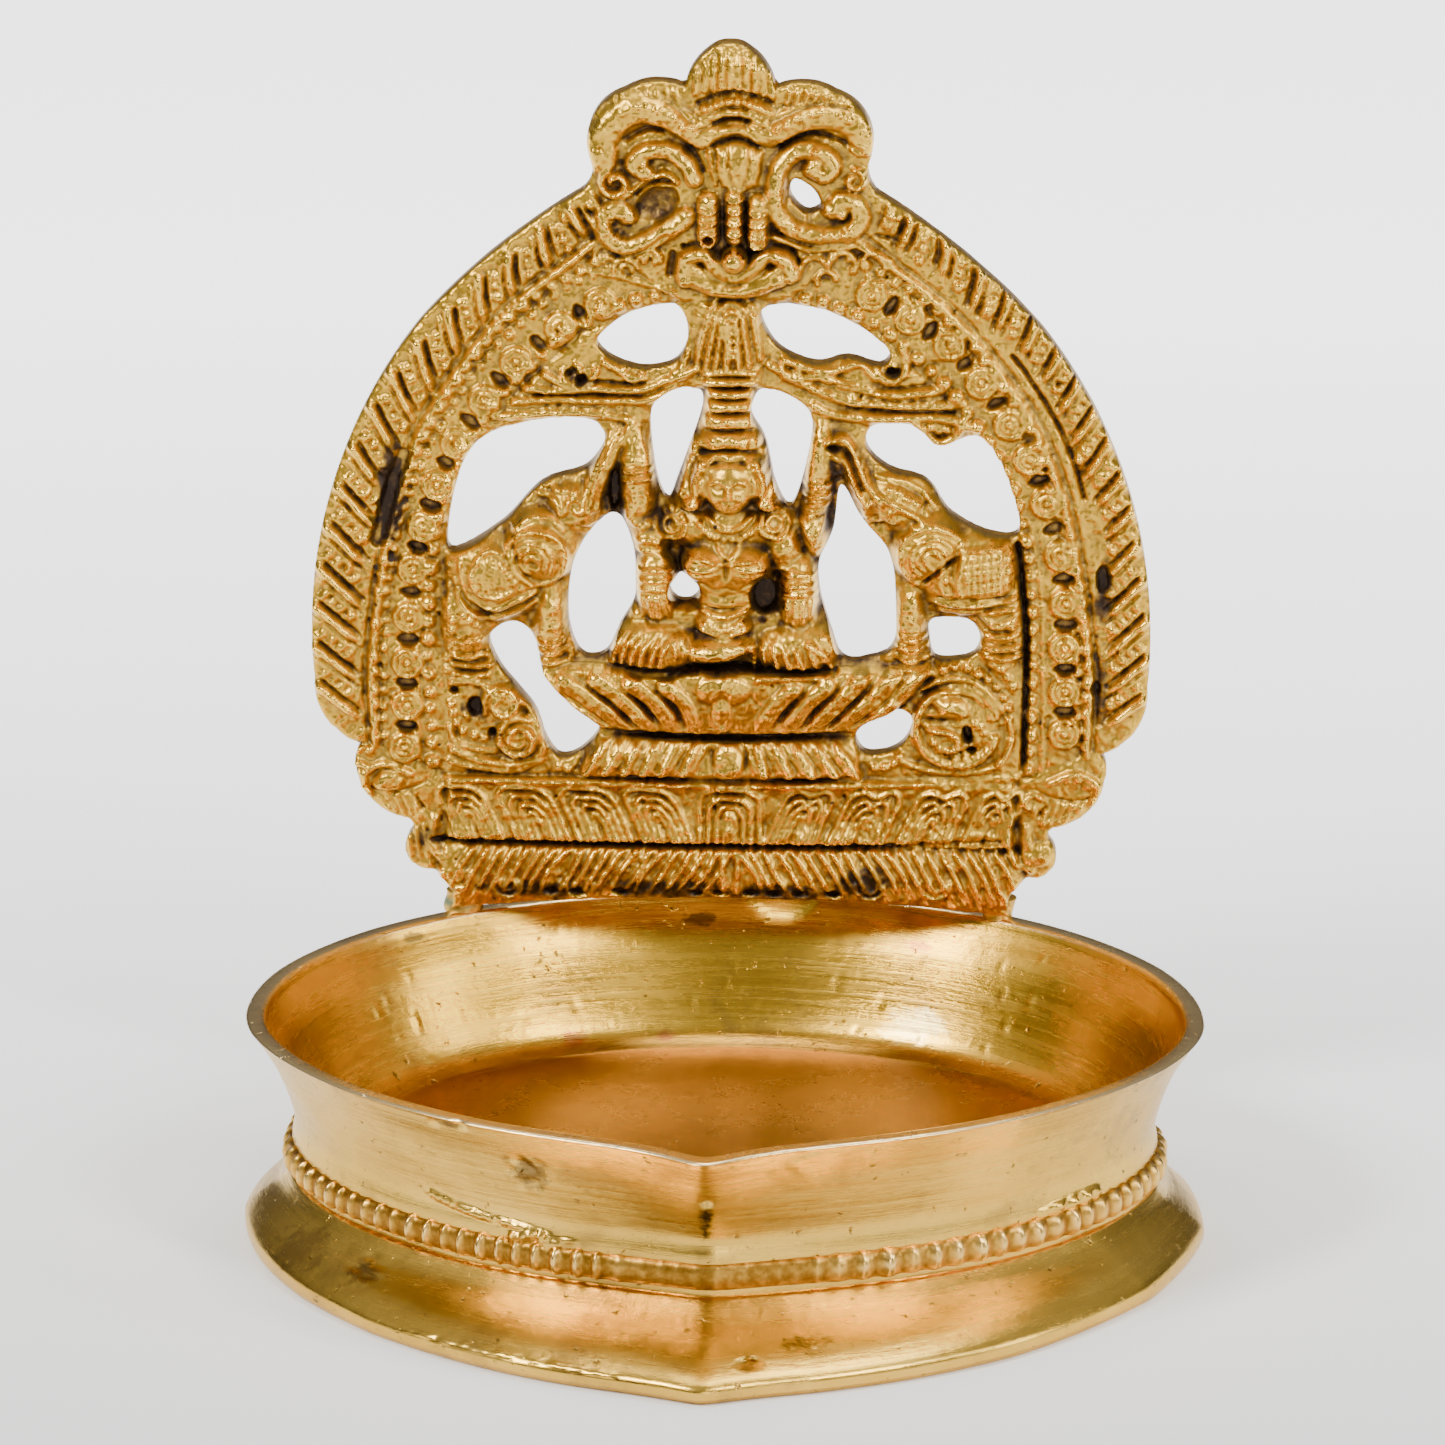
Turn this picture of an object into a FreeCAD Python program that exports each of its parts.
import FreeCAD, Part
import math
import os

# A brass diya: an almond shaped oil bowl on a flared hollow foot, with a pierced, cast shrine
# plate brazed upright on the back of its rim. Millimetres, +Z up, spout towards -Y, origin on
# the table under the middle of the lamp.

doc = FreeCAD.newDocument("diya_oil_lamp")

# ---------------------------------------------------------------- driving sizes
SIZES = {
    "widest_line_y": 3.9,         # where the bowl, belt and foot are all at their widest
    "front_roundness": 1.8,       # exponent of the front half of every plan outline
    "nose_width": 5.2,            # how quickly the spout's point dies away to each side
    "rim_height": 23.0,
    "rim_half_width": 48.6,
    "rim_front_reach": 37.8,
    "rim_back_reach": 39.4,
    "rim_nose": 4.1,
    "rim_wall": 1.8,
    "flare_height": 18.5,
    "flare_share": 0.42,          # how far out the wall has come at flare_height, waist to rim
    "waist_height": 13.0,
    "waist_half_width": 43.9,
    "waist_front_reach": 33.6,
    "waist_back_reach": 34.8,
    "neck_half_width": 44.0,
    "neck_front_reach": 33.7,
    "neck_back_reach": 34.9,
    "neck_nose": 1.2,
    "neck_top": 10.2,
    "bowl_bottom": 6.5,
    "floor_top": 8.7,
    "floor_half_width": 37.5,
    "floor_nose": 0.6,
    "well_flare_inset": 2.0,      # the wall thickens downwards, from rim_wall to these
    "well_waist_inset": 2.8,
    "hollow_x": 4.4,              # the round hollow ground into the inside of the back rim
    "hollow_y": 38.3,
    "hollow_height": 24.5,
    "hollow_radius": 4.4,
    "belt_bottom": 7.0,
    "belt_top": 10.0,
    "belt_proud": 1.1,
    "foot_half_width": 49.0,
    "foot_front_reach": 45.3,
    "foot_back_reach": 38.8,
    "foot_nose": 1.9,
    "foot_flare_height": 1.6,
    "foot_wall": 2.4,
    "plate_centre_x": -0.8,
    "web_front_y": 34.6,
    "web_thickness": 2.2,
    "plate_bottom": 25.3,
    "frieze_line": 31.0,
    "plinth_top": 38.3,
    "seat_bottom": 42.9,
    "seat_top": 50.8,
    "relief_limit": 7.0,          # nothing on the plate stands further out than this
    "border_relief": 1.3,
    "crest_relief": 2.2,
    "canopy_relief": 1.5,
    "pendant_relief": 2.4,
    "figure_relief": 1.8,
    "seat_relief": 3.0,
    "base_relief": 2.4,
    "elephant_relief": 1.5,
    "scroll_relief": 1.5,
    "plinth_relief": 1.8,
    "bracket_relief": 1.2,
    "braze_inner_x": 25.4,
    "braze_outer_x": 30.4,
    "braze_front_y": 32.9,
    "braze_back_y": 37.4,
    "braze_bottom": 21.6,
}

sheet = doc.addObject("Spreadsheet::Sheet", "Sizes")
for row, (alias, number) in enumerate(SIZES.items(), start=1):
    sheet.set("A%d" % row, alias)
    sheet.set("B%d" % row, str(number))
    sheet.setAlias("B%d" % row, alias)
doc.recompute()


def size(alias):
    return float(sheet.get(alias))


# ---------------------------------------------------------------- small helpers
def make_body(name):
    body = doc.addObject("PartDesign::Body", name)
    body.AllowCompound = True
    return body


def make_sketch(body, plane_role, name, height=None):
    """A sketch on one of the body's own origin planes, raised to the sheet's height."""
    sketch = body.newObject("Sketcher::SketchObject", name)
    plane = [item for item in body.Origin.OriginFeatures if item.Role == plane_role][0]
    sketch.AttachmentSupport = [(plane, "")]
    sketch.MapMode = "FlatFace"
    if height is not None:
        sketch.setExpression("AttachmentOffset.Base.z", height)
    return sketch


def closed_curve(points):
    """One smooth closed curve through a few points given as (x, y) pairs."""
    curve = Part.BSplineCurve()
    curve.interpolate(Points=[FreeCAD.Vector(x, y, 0) for x, y in points], PeriodicFlag=True)
    return curve


def polygon(points):
    vectors = [FreeCAD.Vector(x, y, 0) for x, y in points]
    return [Part.LineSegment(a, b) for a, b in zip(vectors, vectors[1:] + vectors[:1])]


def pad(body, sketch, length, reverse=False):
    feature = body.newObject("PartDesign::Pad", body.Name + "_pad")
    feature.Profile = sketch
    feature.setExpression("Length", length)
    feature.Reversed = reverse
    return feature


def loft(body, kind, sketches, name):
    feature = body.newObject("PartDesign::" + kind, name)
    feature.Profile = sketches[0]
    feature.Sections = sketches[1:]
    return feature


# ---------------------------------------------------------------- plan outline of the bowl and foot
NOSE_FALL = 1.3                    # a soft point: sharper than a bell, blunter than a cusp
NOSE_GAIN = 1.12                   # brings the point's height on the centre line back to the full nose


def plan_outline(half_width, front_reach, back_reach, nose, count=56):
    """Elliptical at the back, a flatter superellipse in front, and a soft point at the spout."""
    power = 2.0 / size("front_roundness")
    points = []
    for step in range(count):
        angle = 2.0 * math.pi * step / count
        across, along = math.cos(angle), math.sin(angle)
        if along >= 0:
            x = half_width * across
            y = back_reach * along
        else:
            x = half_width * math.copysign(abs(across) ** power, across)
            y = -front_reach * abs(along) ** power
            from_middle = math.sqrt(x * x + 1.0) / size("nose_width")
            y -= nose * NOSE_GAIN * math.exp(-(from_middle ** NOSE_FALL))
        points.append((x, size("widest_line_y") + y))
    return points


def level(body, name, height, half_width, front_reach, back_reach, nose):
    sketch = make_sketch(body, "XY_Plane", name, height)
    sketch.addGeometry(closed_curve(plan_outline(half_width, front_reach, back_reach, nose)))
    return sketch


def flared_level(body, name, share, height, inset=0.0):
    """A level of the bowl wall, from the waist (share 0) to the rim (share 1), set in by inset."""
    def between(waist, rim):
        return size(waist) + share * (size(rim) - size(waist)) - inset
    return level(body, name, height,
                 between("waist_half_width", "rim_half_width"),
                 between("waist_front_reach", "rim_front_reach"),
                 between("waist_back_reach", "rim_back_reach"),
                 size("neck_nose") + share * (size("rim_nose") - size("neck_nose")) - 0.3 * inset)


# ---------------------------------------------------------------- oil bowl
def build_bowl():
    body = make_body("bowl_shell")
    neck = (size("neck_half_width"), size("neck_front_reach"), size("neck_back_reach"), size("neck_nose"))
    neck_sketch = level(body, "bowl_neck", "Sizes.bowl_bottom", *neck)
    pad(body, neck_sketch, "Sizes.neck_top - Sizes.bowl_bottom")
    outer = [
        level(body, "bowl_neck_top", "Sizes.neck_top", *neck),
        flared_level(body, "bowl_waist", 0.0, "Sizes.waist_height"),
        flared_level(body, "bowl_flare", size("flare_share"), "Sizes.flare_height"),
        flared_level(body, "bowl_rim", 1.0, "Sizes.rim_height"),
    ]
    loft(body, "AdditiveLoft", outer, "bowl_wall")
    reach_loss = size("neck_half_width") - size("floor_half_width")
    inner = [
        flared_level(body, "well_rim", 1.0, "Sizes.rim_height", size("rim_wall")),
        flared_level(body, "well_flare", size("flare_share"), "Sizes.flare_height", size("well_flare_inset")),
        flared_level(body, "well_waist", 0.0, "Sizes.waist_height", size("well_waist_inset")),
        level(body, "well_floor", "Sizes.floor_top", size("floor_half_width"),
              size("neck_front_reach") - reach_loss, size("neck_back_reach") - reach_loss,
              size("floor_nose")),
    ]
    loft(body, "SubtractiveLoft", inner, "bowl_well")
    hollow = body.newObject("PartDesign::SubtractiveSphere", "rim_hollow")
    hollow.setExpression("Radius", "Sizes.hollow_radius")
    hollow.setExpression("Placement.Base.x", "Sizes.hollow_x")
    hollow.setExpression("Placement.Base.y", "Sizes.hollow_y")
    hollow.setExpression("Placement.Base.z", "Sizes.hollow_height")
    return body


def build_belt():
    """The corded belt round the neck: a ring that sits on the bowl's straight neck."""
    body = make_body("bead_belt")
    proud = size("belt_proud")
    outer = level(body, "belt_outer", "Sizes.belt_bottom", size("neck_half_width") + proud,
                  size("neck_front_reach") + proud, size("neck_back_reach") + proud, size("neck_nose"))
    ring = pad(body, outer, "Sizes.belt_top - Sizes.belt_bottom")
    doc.recompute()
    bead = body.newObject("PartDesign::Fillet", "belt_round")
    edges = ["Edge%d" % (i + 1) for i, edge in enumerate(ring.Shape.Edges)
             if edge.BoundBox.ZLength < 0.01]
    bead.Base = (ring, edges)
    bead.setExpression("Radius", "0.9 * Sizes.belt_proud")
    doc.recompute()
    inner = level(body, "belt_inner", "Sizes.belt_top", size("neck_half_width"),
                  size("neck_front_reach"), size("neck_back_reach"), size("neck_nose"))
    bore = body.newObject("PartDesign::Pocket", "belt_bore")
    bore.Profile = inner
    bore.setExpression("Length", "Sizes.belt_top - Sizes.belt_bottom")
    return body


def build_foot():
    body = make_body("foot_skirt")
    nose, flare_nose = size("neck_nose"), size("foot_nose")

    def foot_level(name, height, share, inset=0.0):
        def between(neck, foot):
            return size(neck) + share * (size(foot) - size(neck)) - inset
        return level(body, name, height,
                     between("neck_half_width", "foot_half_width"),
                     between("neck_front_reach", "foot_front_reach"),
                     between("neck_back_reach", "foot_back_reach"),
                     nose + share * (flare_nose - nose))

    outer = [
        foot_level("foot_sole", "0", 0.93),
        foot_level("foot_lip", "0.5 * Sizes.foot_flare_height", 0.99),
        foot_level("foot_flare", "1.2 * Sizes.foot_flare_height", 0.97),
        foot_level("foot_slope", "0.5 * Sizes.bowl_bottom", 0.72),
        foot_level("foot_neck", "0.75 * Sizes.bowl_bottom", 0.3),
        foot_level("foot_top", "Sizes.bowl_bottom", 0.06),
    ]
    loft(body, "AdditiveLoft", outer, "foot_wall_loft")
    wall = size("foot_wall")
    inner = [
        foot_level("hollow_sole", "0", 0.93, wall),
        foot_level("hollow_lip", "0.3 * Sizes.bowl_bottom", 0.85, wall),
        foot_level("hollow_slope", "0.6 * Sizes.bowl_bottom", 0.45, wall + 0.6),
        foot_level("hollow_top", "Sizes.bowl_bottom", 0.0, wall + 1.2),
    ]
    loft(body, "SubtractiveLoft", inner, "foot_hollow")
    return body


# ---------------------------------------------------------------- shrine plate: outline and piercings
# Plate coordinates are (x from the plate's middle, height above the table). The outline is a
# chain of three-point arcs up the right side, (through, end), mirrored for the left side.
PLATE_START = (29.4, size("plate_bottom"))
PLATE_RIGHT_SIDE = [
    ((29.7, 26.8), (31.2, 27.8)),
    ((33.7, 29.2), (33.3, 31.8)),
    ((33.0, 32.6), (33.9, 33.4)),
    ((37.2, 35.2), (38.8, 38.6)),
    ((39.0, 40.0), (38.4, 41.4)),
    ((41.6, 43.6), (43.1, 48.6)),
    ((40.9, 69.6), (31.7, 87.0)),
    ((24.9, 93.7), (15.0, 100.9)),
    ((14.1, 102.4), (14.1, 104.3)),
    ((13.9, 108.7), (10.8, 111.3)),
    ((8.0, 112.3), (4.6, 111.8)),
    ((3.6, 114.2), (2.2, 115.6)),
]
PLATE_TOP = (0.0, 116.4)

# Piercings right through the plate, each a smooth closed curve through a few points.
PIERCINGS = {
    "upper_left": [(-13.6, 85.3), (-10.3, 88.0), (-5.6, 89.0), (-4.3, 86.0), (-5.6, 83.0), (-9.0, 82.2),
                   (-12.3, 83.3)],
    "upper_right": [(3.4, 88.8), (9.8, 88.5), (15.9, 84.9), (15.4, 82.8), (12.0, 83.6), (8.6, 82.9),
                    (4.6, 84.9)],
    "beside_head_left": [(-4.2, 80.3), (-2.8, 78.6), (-5.4, 70.6), (-6.5, 68.2), (-7.7, 71.2),
                         (-8.2, 77.0), (-7.0, 79.4)],
    "beside_head_right": [(3.3, 80.2), (6.6, 79.3), (8.4, 77.0), (7.6, 71.4), (6.2, 67.6), (4.7, 69.8),
                          (3.6, 74.6), (2.1, 77.6)],
    "above_elephant_left": [(-29.2, 63.2), (-28.4, 69.0), (-26.2, 74.0), (-21.0, 76.4), (-15.0, 76.9),
                            (-12.8, 75.0), (-14.8, 71.6), (-19.4, 69.8), (-23.4, 65.6), (-27.6, 62.8)],
    "above_elephant_right": [(14.6, 76.4), (18.8, 76.6), (21.4, 74.3), (25.6, 75.4), (28.4, 71.2),
                             (29.7, 65.4), (26.6, 65.0), (22.6, 67.2), (20.2, 70.5), (16.3, 71.8),
                             (14.0, 74.0)],
    "beside_body_left": [(-12.2, 66.9), (-10.1, 63.6), (-9.8, 58.0), (-11.4, 54.6), (-13.0, 51.5),
                         (-15.6, 51.6), (-16.8, 56.0), (-15.8, 62.6)],
    "beside_body_right": [(11.4, 70.2), (13.6, 66.6), (16.4, 63.0), (17.1, 57.6), (16.8, 52.8),
                          (14.0, 51.3), (11.6, 51.5), (10.4, 54.4), (9.2, 58.6), (9.2, 62.0), (10.6, 65.4)],
    "under_elephant_left": [(-22.4, 55.0), (-20.2, 53.4), (-19.2, 49.8), (-16.4, 46.6), (-13.6, 43.8),
                            (-15.2, 41.2), (-17.6, 40.2), (-19.2, 42.2), (-20.4, 45.6), (-24.0, 50.2),
                            (-24.9, 53.4)],
    "under_elephant_right": [(20.8, 55.8), (24.4, 56.0), (25.8, 54.2), (25.0, 51.9), (21.4, 51.4),
                             (20.6, 53.4)],
    "beside_seat_right": [(13.0, 43.0), (14.2, 44.8), (17.4, 46.0), (18.9, 45.0), (18.2, 42.6),
                          (16.4, 41.3), (14.0, 41.1)],
    "crest": [(6.5, 102.5), (8.4, 101.4), (9.2, 99.6), (7.7, 98.9), (6.1, 100.6)],
}
ARM_HOLE = ((-4.7, 58.9), 1.6)     # round hole between the figure's arm and waist


def mirror(point):
    return (-point[0], point[1])


def plate_outline():
    """Line along the bottom, then arcs up the right side, over the top and down the left side."""
    chain = PLATE_RIGHT_SIDE + [((1.2, 116.2), PLATE_TOP)]
    right_knots = [PLATE_START] + [end for through, end in chain]
    curves = [Part.LineSegment(FreeCAD.Vector(*mirror(PLATE_START), 0), FreeCAD.Vector(*PLATE_START, 0))]
    for start, (through, end) in zip(right_knots, chain):
        curves.append(Part.Arc(*[FreeCAD.Vector(*p, 0) for p in (start, through, end)]))
    for start, (through, end) in reversed(list(zip(right_knots, chain))):
        curves.append(Part.Arc(*[FreeCAD.Vector(*mirror(p), 0) for p in (end, through, start)]))
    return curves


def place_on_plate(thing, front="Sizes.web_front_y"):
    thing.setExpression("Placement.Base.x", "Sizes.plate_centre_x")
    thing.setExpression("Placement.Base.y", front)


def plate_blank(name, depth, reverse):
    """The whole pierced plate as a slab, on one side of the web's front face."""
    body = make_body(name)
    sketch = make_sketch(body, "XZ_Plane", name + "_outline")
    sketch.addGeometry(plate_outline())
    sketch.addGeometry([closed_curve(points) for points in PIERCINGS.values()])
    (hole_x, hole_z), hole_radius = ARM_HOLE
    sketch.addGeometry(Part.Circle(FreeCAD.Vector(hole_x, hole_z, 0), FreeCAD.Vector(0, 0, 1), hole_radius))
    pad(body, sketch, depth, reverse)
    place_on_plate(body)
    return body


# ---------------------------------------------------------------- shrine plate: what stands on it
FRIEZE, PLINTH = size("frieze_line"), size("plinth_top")
SEAT_LOW, SEAT_HIGH = size("seat_bottom"), size("seat_top")
ARCH_MIDDLE = [(36.3, 41.2), (36.3, 52.0), (32.4, 71.9), (23.7, 85.8), (12.6, 95.4)]
ARCH_INNER = [(5.5, 89.3), (15.2, 86.2), (22.0, 79.5), (27.2, 70.6), (29.3, 62.0), (29.3, PLINTH)]
OUTSIDE = 46.0                     # safely beyond the plate's edge

# The border's two bands, as closed right-hand outlines that are mirrored for the left.
LEAF_BAND = ARCH_MIDDLE + [(15.0, 101.2), (OUTSIDE, 101.2), (OUTSIDE, 41.2)]
BEAD_BAND = ARCH_MIDDLE + ARCH_INNER

# The field inside the arch, cut into its ornaments along the lines where they meet.
CREST_MASK = [(-12.6, 95.4), (-5.5, 89.3), (5.5, 89.3), (12.6, 95.4), (15.0, 101.2), (-15.0, 101.2)]
CREST_FAN = [(-15.0, 101.2), (15.0, 101.2), (15.0, 118.0), (-15.0, 118.0)]
PENDANT = [(-3.6, 80.8), (3.6, 80.8), (4.6, 89.3), (-4.6, 89.3)]
CANOPY_RIGHT = [(3.6, 80.8), (7.5, 77.0), (24.0, 77.0), (22.0, 79.5), (15.2, 86.2), (5.5, 89.3),
                (4.6, 89.3)]
FIGURE = [(-17.0, SEAT_HIGH), (13.0, SEAT_HIGH), (11.5, 60.0), (11.5, 77.0), (7.5, 77.0), (3.6, 80.8),
          (-3.6, 80.8), (-7.5, 77.0), (-11.5, 77.0), (-11.5, 60.0)]
SEAT = [(-13.4, SEAT_LOW), (13.4, SEAT_LOW), (17.6, 46.0), (20.8, SEAT_HIGH), (-20.8, SEAT_HIGH),
        (-17.6, 46.0)]
BASE = [(-15.6, PLINTH), (13.6, PLINTH), (13.4, SEAT_LOW), (-15.2, SEAT_LOW)]
ELEPHANT = [(29.3, 56.0), (29.3, 62.0), (27.2, 70.6), (24.0, 77.0), (11.5, 77.0), (11.5, 60.0),
            (16.0, SEAT_HIGH), (20.8, SEAT_HIGH), (20.8, 56.0)]
SCROLL_RIGHT = [(13.6, PLINTH), (29.3, PLINTH), (29.3, 56.0), (20.8, 56.0), (20.8, SEAT_HIGH),
                (17.6, 46.0), (13.4, SEAT_LOW)]
SCROLL_LEFT = [(-15.6, PLINTH), (-29.3, PLINTH), (-29.3, 56.0), (-20.8, 56.0), (-20.8, SEAT_HIGH),
               (-17.6, 46.0), (-15.2, SEAT_LOW)]
PLINTH_LOWER = [(-31.0, size("plate_bottom")), (31.0, size("plate_bottom")), (29.6, FRIEZE),
                (-29.6, FRIEZE)]
PLINTH_UPPER = [(-29.6, FRIEZE), (29.6, FRIEZE), (29.3, PLINTH), (-29.3, PLINTH)]
BRACKET = [(31.0, size("plate_bottom")), (OUTSIDE, size("plate_bottom")), (OUTSIDE, 41.2), (36.3, 41.2),
           (29.3, PLINTH), (29.6, FRIEZE)]

# Raised masses of the figure and elephants: (x, height, half width, half height, rise, tilt in degrees).
FIGURE_MASSES = {
    "crown": (0.0, 76.3, 2.5, 4.4, 3.6, 0),
    "head": (0.0, 71.0, 3.3, 3.9, 5.2, 0),
    "shoulders": (0.0, 65.6, 7.6, 2.6, 4.0, 0),
    "chest": (0.0, 61.6, 4.6, 3.4, 5.0, 0),
    "waist": (-0.2, 57.6, 3.0, 3.6, 4.0, 0),
    "knee_left": (-6.6, 53.2, 6.8, 2.6, 4.4, 0),
    "knee_right": (5.8, 53.2, 6.5, 2.6, 4.2, 0),
    "hand_left": (-8.2, 59.0, 2.2, 4.4, 3.6, 0),
    "hand_right": (7.2, 58.4, 2.2, 4.6, 3.6, 0),
    "raised_arm_left": (-9.0, 67.4, 1.8, 5.4, 3.4, 12),
    "raised_arm_right": (9.0, 68.0, 1.6, 5.6, 3.4, 0),
}
ELEPHANT_MASSES = {
    "barrel": (23.6, 61.4, 6.2, 4.6, 3.8, 0),
    "head": (18.6, 64.6, 3.8, 4.6, 3.8, 30),
    "trunk": (13.6, 70.2, 1.8, 5.6, 2.8, 24),
    "foreleg": (18.0, 55.4, 1.6, 5.2, 2.8, 0),
    "hind_leg": (27.0, 57.6, 2.0, 4.0, 2.6, 0),
}


def slab(name, outlines, relief):
    """A flat raised area in front of the web, from straight-sided outlines."""
    body = make_body(name + "_slab")
    sketch = make_sketch(body, "XZ_Plane", name + "_area")
    for points in outlines:
        sketch.addGeometry(polygon(points))
    pad(body, sketch, "Sizes." + relief)
    place_on_plate(body)
    return body


def boss(name, x, height, half_width, half_height, rise, tilt):
    """A raised oval mass: its long way lies along its greater half size, turned by tilt degrees."""
    body = make_body(name)
    sketch = make_sketch(body, "XZ_Plane", name + "_oval")
    lean = math.radians(tilt)
    sideways = FreeCAD.Vector(math.cos(lean), -math.sin(lean), 0)
    upward = FreeCAD.Vector(math.sin(lean), math.cos(lean), 0)
    middle = FreeCAD.Vector(x, height, 0)
    if half_width >= half_height:
        oval = Part.Ellipse(middle + sideways * half_width, middle + upward * half_height, middle)
    else:
        oval = Part.Ellipse(middle + upward * half_height, middle - sideways * half_width, middle)
    sketch.addGeometry(oval)
    pad(body, sketch, str(rise))
    place_on_plate(body)
    return body


def ornament(label, outlines, relief, blank, masses=None, side=1):
    """One piece of relief: its area and masses, trimmed to the pierced plate's front."""
    shapes = [slab(label, outlines, relief)]
    for name, (x, height, half_width, half_height, rise, tilt) in (masses or {}).items():
        mass_name = label + "_" + name
        shapes.append(boss(mass_name, side * x, height, half_width, half_height, rise, side * tilt))
    if len(shapes) > 1:
        whole = doc.addObject("Part::MultiFuse", label + "_whole")
        whole.Shapes = shapes
    else:
        whole = shapes[0]
    area = slab(label + "_limit", outlines, "relief_limit")
    piece = doc.addObject("Part::MultiCommon", label)
    piece.Shapes = [whole, area, blank]
    piece.Label = label
    return piece


def both_sides(outline):
    return [outline, [mirror(point) for point in outline]]


# ---------------------------------------------------------------- brazed joints
def build_braze(label, side, bowl):
    """Braze metal run between the rim and one bottom corner of the plate."""
    body = make_body(label + "_pool")
    centre = "(Sizes.braze_outer_x + Sizes.braze_inner_x) / 2"
    width = size("braze_outer_x") - size("braze_inner_x")
    depth = size("braze_back_y") - size("braze_front_y")
    low = make_sketch(body, "XY_Plane", label + "_low", "Sizes.braze_bottom")
    low.addGeometry(Part.Ellipse(FreeCAD.Vector(0, 0, 0), width / 2, depth / 2))
    high = make_sketch(body, "XY_Plane", label + "_high", "Sizes.plate_bottom")
    high.addGeometry(Part.Ellipse(FreeCAD.Vector(0, 0, 0), 0.42 * width, 0.38 * depth))
    loft(body, "AdditiveLoft", [low, high], label + "_loft")
    body.setExpression("Placement.Base.x", "Sizes.plate_centre_x + %d * %s" % (side, centre))
    body.setExpression("Placement.Base.y", "(Sizes.braze_front_y + Sizes.braze_back_y) / 2")
    piece = doc.addObject("Part::Cut", label)
    piece.Base = body
    piece.Tool = bowl
    piece.Label = label
    return piece


# ---------------------------------------------------------------- assembly
bowl = build_bowl()
web = plate_blank("plate_web", "Sizes.web_thickness", True)
front = plate_blank("plate_front", "Sizes.relief_limit", False)
left = [mirror(point) for point in ELEPHANT]
parts = [
    bowl,
    build_belt(),
    build_foot(),
    web,
    ornament("leaf_border", both_sides(LEAF_BAND), "border_relief", front),
    ornament("bead_border", both_sides(BEAD_BAND), "border_relief", front),
    ornament("crest_mask", [CREST_MASK], "crest_relief", front),
    ornament("crest_fan", [CREST_FAN], "crest_relief", front),
    ornament("pendant", [PENDANT], "pendant_relief", front),
    ornament("canopy_branches", both_sides(CANOPY_RIGHT), "canopy_relief", front),
    ornament("seated_figure", [FIGURE], "figure_relief", front, FIGURE_MASSES),
    ornament("lotus_seat", [SEAT], "seat_relief", front),
    ornament("lotus_base", [BASE], "base_relief", front),
    ornament("elephant_left", [left], "elephant_relief", front, ELEPHANT_MASSES, side=-1),
    ornament("elephant_right", [ELEPHANT], "elephant_relief", front, ELEPHANT_MASSES),
    ornament("foliage_scroll_left", [SCROLL_LEFT], "scroll_relief", front),
    ornament("foliage_scroll_right", [SCROLL_RIGHT], "scroll_relief", front),
    ornament("plinth_upper", [PLINTH_UPPER], "plinth_relief", front),
    ornament("plinth_lower", [PLINTH_LOWER], "plinth_relief", front),
    ornament("bracket_left", [[mirror(point) for point in BRACKET]], "bracket_relief", front),
    ornament("bracket_right", [BRACKET], "bracket_relief", front),
    build_braze("braze_left", -1, bowl),
    build_braze("braze_right", 1, bowl),
]

doc.recompute()
for thing in doc.Objects:
    failed = [word for word in thing.State if word in ("Invalid", "Error")]
    if failed:
        raise RuntimeError("%s did not build: %s" % (thing.Name, failed))
for part in parts:
    if part.Shape.isNull() or not part.Shape.isValid() or not part.Shape.Solids:
        raise RuntimeError("%s has no good shape" % part.Label)

os.makedirs("parts", exist_ok=True)
for part in parts:
    part.Shape.exportStep(os.path.join("parts", part.Label + ".step"))
    box = part.Shape.BoundBox
    print("%-22s %d solid(s) %9.1f mm3   x %.1f..%.1f  y %.1f..%.1f  z %.1f..%.1f" % (
        part.Label, len(part.Shape.Solids), part.Shape.Volume,
        box.XMin, box.XMax, box.YMin, box.YMax, box.ZMin, box.ZMax))
